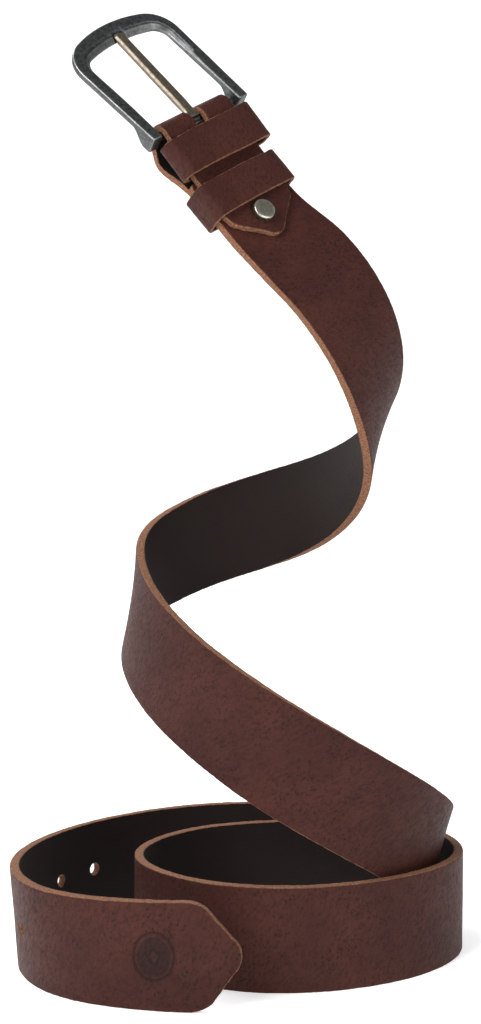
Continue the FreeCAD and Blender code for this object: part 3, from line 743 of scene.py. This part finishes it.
def make_tab():
    path = tab_path()

    def locate(s, w, h):
        place, slope = path.at(s)
        slope = unit(slope)
        x = place[:, 0] - slope[:, 1] * h
        z = place[:, 1] + slope[:, 0] * h
        in_front = place[:, 1] > BAR_OUT
        offset = np.where(in_front, tab_offset(place[:, 0]), back_offset(place[:, 0]))
        return at_run(x, w + offset, z)

    fine = np.linspace(0, path.length, 2000)
    x, z = path.at(fine)[0].T
    front_reach = fine[x > -SLOT_FRONT][0]
    back_reach = fine[x > -SLOT_BACK][-1]
    slot_middle = BUCKLE_SHIFT - float(tab_offset(-2.0))
    slot = np.array([(front_reach, -SLOT_HALF), (front_reach, SLOT_HALF),
                     (back_reach, SLOT_HALF), (back_reach, -SLOT_HALF)]) + (0, slot_middle)
    slot = rounded(slot, SLOT_CORNER)
    nose = pointed_end(*TAB_POINT) * (-1, -1)
    tail = square_end(0.0, TAB_WIDTH / 2, CORNER) * (-1, -1) + (path.length, 0.0)
    outline = np.concatenate([nose, tail])
    loops = [outline, slot]
    for side, offset in ((1, tab_offset), (-1, back_offset)):
        where = fine[np.argmin(abs(x + RIVET_AT) + 100 * (z * side < 0))]
        loops.append(circle((where, RIVET_SHIFT - offset(-RIVET_AT)), RIVET_HOLE))

    def relief(s, w):
        return 0.05 * noise(s / 9, w / 8, 13)

    return leather_sheet("tab_strap", locate, loops, TAB_THICK, "belt", "buckle_tab",
                         relief=relief, step=0.5, spacing=1.1, seed=2, fuzz=0.16)


def rounded(loop, radius):
    """A polygon with its corners rounded, in the same turning sense."""
    pieces = []
    for before, corner, after in zip(np.roll(loop, 1, axis=0), loop, np.roll(loop, -1, axis=0)):
        back, ahead = unit(before - corner), unit(after - corner)
        centre = corner + (back + ahead) * radius
        for share in np.linspace(0, 1, 8):
            turn = share * math.pi / 2
            pieces.append(centre - ahead * radius * math.cos(turn) - back * radius * math.sin(turn))
    return np.array(pieces)


# ---------------------------------------------------------------- keepers
def make_keeper(name, node, place, size, slack, taper, seed):
    """A loop of leather round the flaps, butted at the back."""
    distance, shift, tilt = place
    length, half_width, low, high = size
    reach, base, top = half_width + KEEPER_THICK / 2, low - KEEPER_THICK / 2, high + KEEPER_THICK / 2
    corners = np.array([(-reach, base), (-reach, top), (reach, top), (reach, base)])
    ring = evenly(rounded(corners, KEEPER_CORNER), 0.5)
    start = np.argmin(abs(ring[:, 0]) + 100 * (ring[:, 1] > (base + top) / 2))
    ring = np.roll(ring, -start, axis=0)
    gap = BUTT_GAP if ring[5, 0] > ring[0, 0] else -BUTT_GAP
    ring[0, 0] = gap
    ring = np.concatenate([ring, [(-gap, base)]])
    path = Curve(ring)
    angle = math.radians(tilt)

    def locate(s, w, h):
        place, slope = path.at(s)
        slope = unit(slope)
        y = place[:, 0] - slope[:, 1] * h
        z = place[:, 1] + slope[:, 0] * h
        front = smoothstep((base + top) / 2, top, place[:, 1])
        z = z + slack * front * (1 - (place[:, 0] / reach) ** 2)
        spread = 1 + taper * place[:, 0] / reach
        x = w * spread + 4 * taper * place[:, 0] / reach
        x = x + 0.25 * front * noise(s / 14, np.zeros_like(s), seed)
        return at_run(-distance + x * math.cos(angle) + z * math.sin(angle), y + shift,
                      z * math.cos(angle) - x * math.sin(angle))

    half = length / 2
    end = square_end(0.0, half, CORNER)
    outline = np.concatenate([end, end * (-1, -1) + (path.length, 0.0)])

    def relief(s, w):
        return 0.06 * noise(s / 7, w / 6, seed + 3)

    return leather_sheet(name, locate, [outline], KEEPER_THICK, node, node,
                         relief=relief, step=0.5, spacing=1.1, seed=seed, fuzz=0.14)


# ---------------------------------------------------------------- buckle frame
OUTER = (26.4, 27.4, 53.0, 60.0, 13.5)    # half width at the ends and the shoulders, apex, bow, corner
INNER = (21.6, 21.4, 44.2, 70.0, 6.0)
FRAME_SHIFT = 0.8            # across, of the frame from the prong
FRAME_SKEW = math.radians(2.8)            # of the shoulders and the arc
FRAME_TOP = 4.8
LEG_DEPTH = 2.8
EAR_DEPTH = 7.4
EAR_END = 2.75
NOTCH = (43.0, 47.8, 2.8, 2.6)            # from, to, half width, bottom
EDGE_ROUND = 0.45            # of the frame's edges
FRAME_COUNTS = (90, 40, 70)  # points along each leg, corner and half of the arc


def horseshoe(half_ends, half_shoulders, apex, bow, corner):
    """Points from one end of the legs round the arc to the other, as (along, across)."""
    bow_centre = apex - bow
    shoulder = bow_centre + math.sqrt((bow - corner) ** 2 - (half_shoulders - corner) ** 2)
    turn = math.atan2(half_shoulders - corner, shoulder - bow_centre)
    legs, corners, crown = FRAME_COUNTS
    bend = arc_points((shoulder, half_shoulders - corner), corner, math.pi / 2, turn, corners)
    top = arc_points((bow_centre, 0), bow, turn, 0, crown)
    half = np.concatenate([bend, top[1:]])
    x, y = np.concatenate([half, half[-2::-1] * (1, -1)]).T
    arch = np.stack([x * math.cos(FRAME_SKEW) + y * math.sin(FRAME_SKEW),
                     y * math.cos(FRAME_SKEW) - x * math.sin(FRAME_SKEW)], 1)
    share = np.linspace(0, 1, legs)[:-1, None]
    first = (1 - share) * (-EAR_END, half_ends) + share * arch[0]
    last = share[::-1] * arch[-1] + (1 - share[::-1]) * (-EAR_END, -half_ends)
    return np.concatenate([first, arch, last])


def underside(x):
    """Height of the frame's back: ears deep at the bar, then thin legs and arc."""
    floor, bottom = FRAME_TOP - LEG_DEPTH, FRAME_TOP - EAR_DEPTH
    return bottom + (floor - bottom) * smoothstep(0.2, 8.3, x)


def make_frame():
    outer, inner = horseshoe(*OUTER), horseshoe(*INNER)
    crown = smoothstep(12.0, 44.0, inner[:, 0])
    width = np.linalg.norm(outer - inner, axis=1)
    toward_inner = unit(inner - outer)
    low = underside(outer[:, 0])
    scoop, scoop_depth = 0.4 + 1.5 * crown, 0.4 + 0.9 * crown
    bend = EDGE_ROUND
    rows, wear = [], []

    def row(inset, height, rubbed):
        """One line round the frame: inset from the outer edge and height, both per place."""
        plan = outer + toward_inner * np.broadcast_to(inset, width.shape)[:, None]
        rows.append(np.column_stack([plan, np.broadcast_to(height, width.shape)]))
        wear.append(np.broadcast_to(rubbed, width.shape))

    row(bend * 1.6, low, 0.1)
    row(bend * 0.4, low + bend * 0.4, 0.35)
    row(0.0, low + bend * 1.6, 0.1)
    row(0.0, FRAME_TOP - bend * 1.5, 0.0)
    row(0.05, FRAME_TOP - bend * 0.9, 0.45)
    row(bend * 0.45, FRAME_TOP - bend * 0.35, 1.0)
    row(bend * 1.0, FRAME_TOP, 0.75)
    row(bend * 1.9, FRAME_TOP + 0.03, 0.0)
    for share in (0.25, 0.5, 0.75):
        row(share * width, FRAME_TOP + 0.05, 0.0)
    row(width - scoop - 0.45, FRAME_TOP + 0.03, 0.1)
    row(width - scoop, FRAME_TOP - 0.05, 0.6)
    row(width - scoop * 0.7, FRAME_TOP - scoop_depth * 0.42, 0.3)
    row(width - scoop * 0.35, FRAME_TOP - scoop_depth * 0.75, 0.3)
    row(width - 0.02, FRAME_TOP - scoop_depth, 0.6)
    row(width, FRAME_TOP - scoop_depth - 0.3, 0.2)
    row(width, low + bend * 1.6, 0.0)
    row(width - bend * 0.4, low + bend * 0.4, 0.4)
    row(width - bend * 1.6, low, 0.1)
    for share in (0.7, 0.4):
        row(share * width, low - 0.02, 0.0)
    rings = np.stack(rows, 1)
    worn = np.stack(wear, 1)
    rings = notched(rings)
    rings, worn = capped(rings, worn)
    vertices, faces = tube(rings)
    places = at_bar(vertices[:, 0], vertices[:, 1] + FRAME_SHIFT, vertices[:, 2])
    piece = new_piece("horseshoe_frame", places, faces, "buckle", "buckle_frame")
    add_attribute(piece, "wear", "FLOAT", worn.ravel())
    piece.data.materials.append(GUNMETAL)
    return piece


def notched(rings):
    """Lowers the crown where the prong's tip lies."""
    start, end, half_width, bottom = NOTCH
    x, y, z = rings[..., 0], rings[..., 1], rings[..., 2]
    within = smoothstep(half_width + 0.5, half_width, abs(y + FRAME_SHIFT))
    within = within * smoothstep(end + 0.5, end, x)
    lowered = np.minimum(z, bottom + 0.01 * np.arange(z.shape[1]))
    rings = rings.copy()
    rings[..., 2] = z + (lowered - z) * within * (x > start - 1)
    return rings


def capped(rings, worn):
    """Rounds both ends of the legs: shrunken rings before the first and after the last."""
    bend = EDGE_ROUND
    first, last = rings[0], rings[-1]
    caps = []
    for ring in (first, last):
        middle = (ring.max(0) + ring.min(0)) / 2
        size = (ring.max(0) - ring.min(0)) / 2
        steps = []
        for back, shrink in ((0.0, bend), (bend * 0.3, bend * 0.35)):
            scale = 1 - shrink / np.maximum(size, 0.1)
            scaled = middle + (ring - middle) * scale
            scaled[:, 0] = -EAR_END + back
            steps.append(scaled)
        caps.append(steps)
    pushed_first, pushed_last = first.copy(), last.copy()
    pushed_first[:, 0] += bend
    pushed_last[:, 0] += bend
    rings = np.concatenate([[caps[0][0], caps[0][1], pushed_first], rings[2:-2],
                            [pushed_last, caps[1][1], caps[1][0]]])
    edge_wear = np.full_like(worn[0], 0.9)
    face_wear = np.full_like(worn[0], 0.25)
    worn = np.concatenate([[face_wear, edge_wear, worn[0]], worn[2:-2],
                           [worn[-1], edge_wear, face_wear]])
    return rings, worn


def tube(rings):
    """Vertices and faces of a tube through closed rings, with flat ends."""
    count, around = rings.shape[:2]
    faces = []
    for i in range(count - 1):
        for j in range(around):
            k = (j + 1) % around
            faces.append((i * around + j, i * around + k, (i + 1) * around + k, (i + 1) * around + j))
    faces.append(tuple(range(around))[::-1])
    faces.append(tuple((count - 1) * around + j for j in range(around)))
    return rings.reshape(-1, 3), faces


# ---------------------------------------------------------------- prong
PRONG_WIDTH = 5.2
PRONG_TIP = 47.2
PRONG_TIP_TOP = 5.2
CURL_MIDDLE = 2.4            # radius of the curl's middle line
CURL_THICK = 1.5
BLADE_THICK = 2.3


def make_prong():
    """A flat tongue with bevelled flanks, curled round the bar."""
    curl = np.radians(np.linspace(-215, 90, 50))
    path = [(CURL_MIDDLE * math.cos(a), CURL_MIDDLE * math.sin(a)) for a in curl[:-1]]
    tip_middle = PRONG_TIP_TOP - BLADE_THICK / 2
    path += [(x, CURL_MIDDLE + (tip_middle - CURL_MIDDLE) * x / PRONG_TIP)
             for x in np.linspace(0, PRONG_TIP, 120)]
    path = np.array(path)
    slope = unit(np.gradient(path, axis=0))
    lift = np.stack([-slope[:, 1], slope[:, 0]], 1)
    on_blade = np.arange(len(path)) >= len(curl) - 1
    x = np.where(on_blade, path[:, 0], 0.0)
    thick = CURL_THICK + (BLADE_THICK - CURL_THICK) * smoothstep(1.0, 9.0, x)
    end = smoothstep(PRONG_TIP - 2.4, PRONG_TIP, x)
    half = PRONG_WIDTH / 2 - 0.1 * smoothstep(8.0, 40.0, x) - 1.0 * end ** 3
    upper = thick / 2 - 0.7 * end ** 2
    lower = -thick / 2 + 0.25 * end ** 2
    flank = 0.75 * smoothstep(0.0, 5.0, x) + 0.12
    rows, wear = [], []

    def row(side, inset, height, rubbed):
        y = side * (half - inset)
        plan = path + lift * np.asarray(height)[:, None]
        rows.append(np.column_stack([plan[:, 0], y, plan[:, 1]]))
        wear.append(np.full(len(path), rubbed))

    for side, order in ((1, 1), (-1, -1)):
        lines = [(0.25, lower, 0.1), (0.0, lower + 0.25, 0.3), (0.0, upper - 0.95, 0.5),
                 (0.08, upper - 0.8, 0.7), (flank - 0.1, upper - 0.1, 0.9), (flank + 0.12, upper, 0.7),
                 (flank + 0.4, upper + 0.02, 0.2)]
        for inset, height, rubbed in lines[::order]:
            row(side, inset, height, rubbed)
    rings = np.stack(rows, 1)
    vertices, faces = tube(rings)
    places = at_bar(vertices[:, 0], vertices[:, 1], vertices[:, 2])
    piece = new_piece("prong_blade", places, faces, "prong", "buckle_prong")
    add_attribute(piece, "wear", "FLOAT", np.stack(wear, 1).ravel())
    piece.data.materials.append(OLD_SILVER)
    return piece


# ---------------------------------------------------------------- rivet
RIVET_HEAD = (4.4, 2.5, 0.6)              # radius, height, bend at the rim
RIVET_AROUND = 72
RIVET_WEAR = (0.2, 0.3, 0.3, 0.6, 0.9, 1.0, 0.8, 0.5, 0.2, 0.1, 0.1, 0.1)    # per ring


def make_rivet_cap():
    """A low round head with a rolled rim and a slightly domed, dented face."""
    base = TAB_LEVEL + TAB_THICK / 2 + 0.1
    radius, height, bend = RIVET_HEAD
    profile = [(radius - 0.25, 0.0), (radius, 0.25), (radius, height - bend)]
    for angle in np.linspace(0, math.pi / 2, 6)[1:]:
        profile.append((radius - bend * (1 - math.cos(angle)), height - bend * (1 - math.sin(angle))))
    profile += [(share * (radius - bend), height + 0.12 * (1 - share ** 2))
                for share in (0.8, 0.6, 0.4, 0.2)]
    angles = np.linspace(0, 2 * math.pi, RIVET_AROUND + 1)[:-1]
    rings = []
    for r, z in profile:
        x, y = r * np.cos(angles), r * np.sin(angles)
        dent = 0.06 * noise(x / 1.6 + 5, y / 1.6, 21) * smoothstep(height - 0.3, height, z)
        rings.append(np.column_stack([x - RIVET_AT, y + RIVET_SHIFT, base + z + dent]))
    vertices, faces = tube(np.array(rings))
    places = at_run(vertices[:, 0], vertices[:, 1], vertices[:, 2])
    piece = new_piece("rivet_head", places, faces, "belt", "rivet_cap")
    rubbed = np.repeat(RIVET_WEAR[:len(profile)], RIVET_AROUND)
    add_attribute(piece, "wear", "FLOAT", rubbed)
    piece.data.materials.append(RIVET_METAL)
    return piece


def finish_cad_nodes():
    """The small metal parts whose CAD shape is already right."""
    for node, material in (("buckle_bar", GUNMETAL), ("rivet_post", RIVET_METAL),
                           ("front_keeper_staples", WIRE), ("rear_keeper_staples", WIRE)):
        data = frame["nodes"][node].data
        data.materials.clear()
        data.materials.append(material)


# ---------------------------------------------------------------- stage
CAMERA_PLACE = (0.22, -631.7, 223.4)
CAMERA_PITCH = 3.33          # degrees down
FOCAL_PIXELS = 1589.4        # for a picture 1024 high
LENS_SHIFT = -0.0262
FLOOR_GLOW = 0.55            # keeps the floor as white as a lit studio's
SKY = 0.3
SENSOR = 36.0
LIGHTS = (("key", (-1.0, -1.1, 1.0), (0.7, 0.9), 26.0),    # name, place, size, watts
          ("fill", (1.0, -1.0, 0.6), (0.5, 0.8), 7.0),
          ("rim", (-0.7, 0.6, 1.1), (0.6, 0.6), 10.0))
LIT_PLACE = (0, 0, 0.2)


def make_camera():
    data = bpy.data.cameras.new("camera")
    data.sensor_width = SENSOR
    data.lens = FOCAL_PIXELS * SENSOR / 1024
    data.shift_y = LENS_SHIFT
    camera = bpy.data.objects.new("camera", data)
    camera.location = Vector(CAMERA_PLACE) * MM
    camera.rotation_euler = (math.radians(90 - CAMERA_PITCH), 0, 0)
    bpy.context.scene.collection.objects.link(camera)
    bpy.context.scene.camera = camera


def area_light(name, place, size, power):
    data = bpy.data.lights.new(name, "AREA")
    data.shape = "RECTANGLE"
    data.size, data.size_y = size
    data.energy = power
    light = bpy.data.objects.new(name, data)
    light.location = place
    light.rotation_euler = (Vector(LIT_PLACE) - Vector(place)).to_track_quat("-Z", "Y").to_euler()
    bpy.context.scene.collection.objects.link(light)


def make_stage():
    """A white floor that curves up into a backdrop, and soft lights."""
    profile = [(-2.5, 0.0), (1.6, 0.0)]
    profile += [(1.6 + 0.8 * math.sin(turn), 0.8 - 0.8 * math.cos(turn))
                for turn in np.radians(np.arange(7.5, 90.1, 7.5))]
    profile.append((2.4, 3.0))
    vertices = [(side * 3.0, y, z) for y, z in profile for side in (-1, 1)]
    faces = [(2 * i, 2 * i + 1, 2 * i + 3, 2 * i + 2) for i in range(len(profile) - 1)]
    mesh = bpy.data.meshes.new("studio_floor")
    mesh.from_pydata(vertices, [], faces)
    mesh.shade_smooth()
    floor = bpy.data.objects.new("studio_floor", mesh)
    bpy.context.scene.collection.objects.link(floor)
    paint = Paint("studio_floor")
    white = (0.9, 0.9, 0.9, 1.0)
    mesh.materials.append(paint.finish(Base_Color=white, Roughness=0.9, Emission_Color=white,
                                       Emission_Strength=FLOOR_GLOW))
    world = bpy.context.scene.world or bpy.data.worlds.new("world")
    bpy.context.scene.world = world
    world.use_nodes = True
    background = world.node_tree.nodes["Background"]
    background.inputs["Color"].default_value = (1, 1, 1, 1)
    background.inputs["Strength"].default_value = SKY
    for light in LIGHTS:
        area_light(*light)
    bpy.context.scene.view_settings.view_transform = "Standard"


# ---------------------------------------------------------------- the belt
line = BeltLine()
make_strap(line)
make_tab()
make_keeper("fixed_loop", "front_keeper", *FRONT_KEEPER, slack=0.25, taper=0.03, seed=31)
make_keeper("sliding_loop", "rear_keeper", *REAR_KEEPER, slack=0.15, taper=0.0, seed=41)
make_frame()
make_prong()
make_rivet_cap()
finish_cad_nodes()
make_camera()
make_stage()
